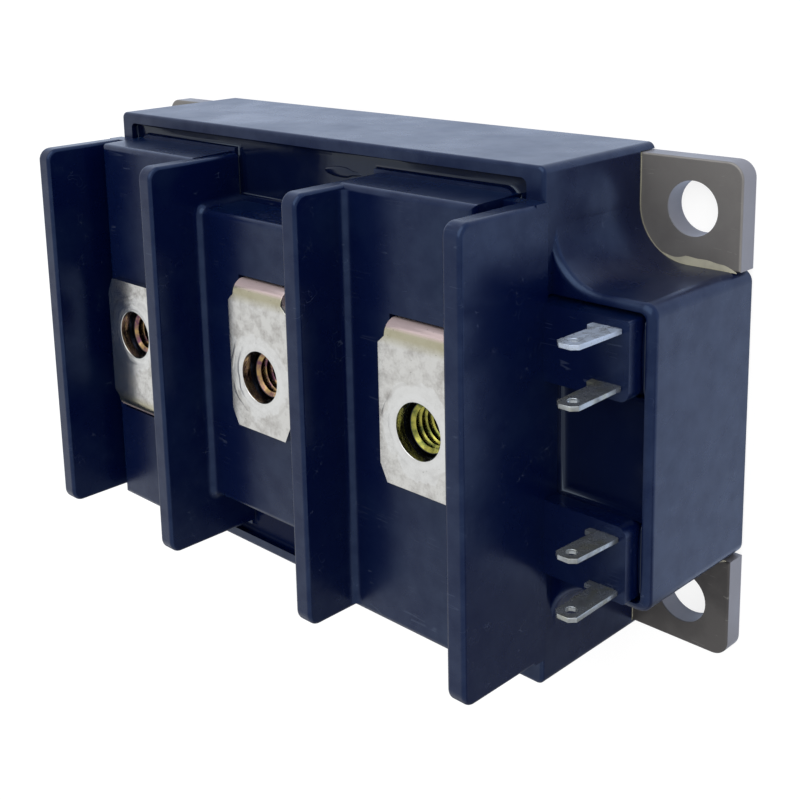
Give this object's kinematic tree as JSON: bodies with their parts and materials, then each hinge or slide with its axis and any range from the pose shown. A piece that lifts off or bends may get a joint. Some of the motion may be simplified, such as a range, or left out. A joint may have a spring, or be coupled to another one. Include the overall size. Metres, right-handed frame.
{
  "type": "power semiconductor module",
  "caption": "Half-bridge IGBT power module: moulded case on a metal base plate, screw terminals between barrier ribs and plug-on signal tabs at one end.",
  "frame": {"origin": "centre of the base plate's underside", "axes": "+X along the length to the end with the signal tabs, +Z out of the base plate to the screw terminals, +Y completes a right-handed frame"},
  "size_m": [0.1054, 0.0614, 0.0357],
  "materials": {
    "nickel_plate": "nickel-plated copper, satin",
    "black_plastic": "moulded glass-filled plastic, near black, smooth",
    "adhesive": "cured adhesive, pale yellow",
    "potting_resin": "poured epoxy, near black, glossy",
    "silicone_gel": "clear soft gel",
    "tinned_terminal": "tin-plated copper strip",
    "chromated_nut": "steel with yellow chromate",
    "silver_tab": "tin-plated copper alloy, bright",
    "lead_wire": "tinned copper wire",
    "solder": "solder, satin",
    "bare_copper": "bare copper",
    "ceramic_sheet": "white alumina",
    "chip": "silicon with a metallised top",
    "bond_wire": "aluminium wire"
  },
  "bodies": {
    "root": {"adhesive_bead": "adhesive", "back_copper_left": "bare_copper", "back_copper_right": "bare_copper", "base_plate": "nickel_plate", "bond_wires_left": "bond_wire", "bond_wires_right": "bond_wire", "case_frame": "black_plastic", "copper_tracks_left": "bare_copper", "copper_tracks_right": "bare_copper", "diode_chip_1": "chip", "diode_chip_2": "chip", "diode_chip_3": "chip", "diode_chip_4": "chip", "igbt_chip_1": "chip", "igbt_chip_2": "chip", "igbt_chip_3": "chip", "igbt_chip_4": "chip", "nut_left": "chromated_nut", "nut_middle": "chromated_nut", "nut_right": "chromated_nut", "plate_solder_left": "solder", "plate_solder_right": "solder", "potting_resin": "potting_resin", "power_terminal_left": "tinned_terminal", "power_terminal_middle": "tinned_terminal", "power_terminal_right": "tinned_terminal", "signal_lead_1": "lead_wire", "signal_lead_2": "lead_wire", "signal_lead_3": "lead_wire", "signal_lead_4": "lead_wire", "signal_tab_1": "silver_tab", "signal_tab_2": "silver_tab", "signal_tab_3": "silver_tab", "signal_tab_4": "silver_tab", "silicone_gel": "silicone_gel", "substrate_left": "ceramic_sheet", "substrate_right": "ceramic_sheet", "terminal_block": "black_plastic"}
  },
  "joints": []
}
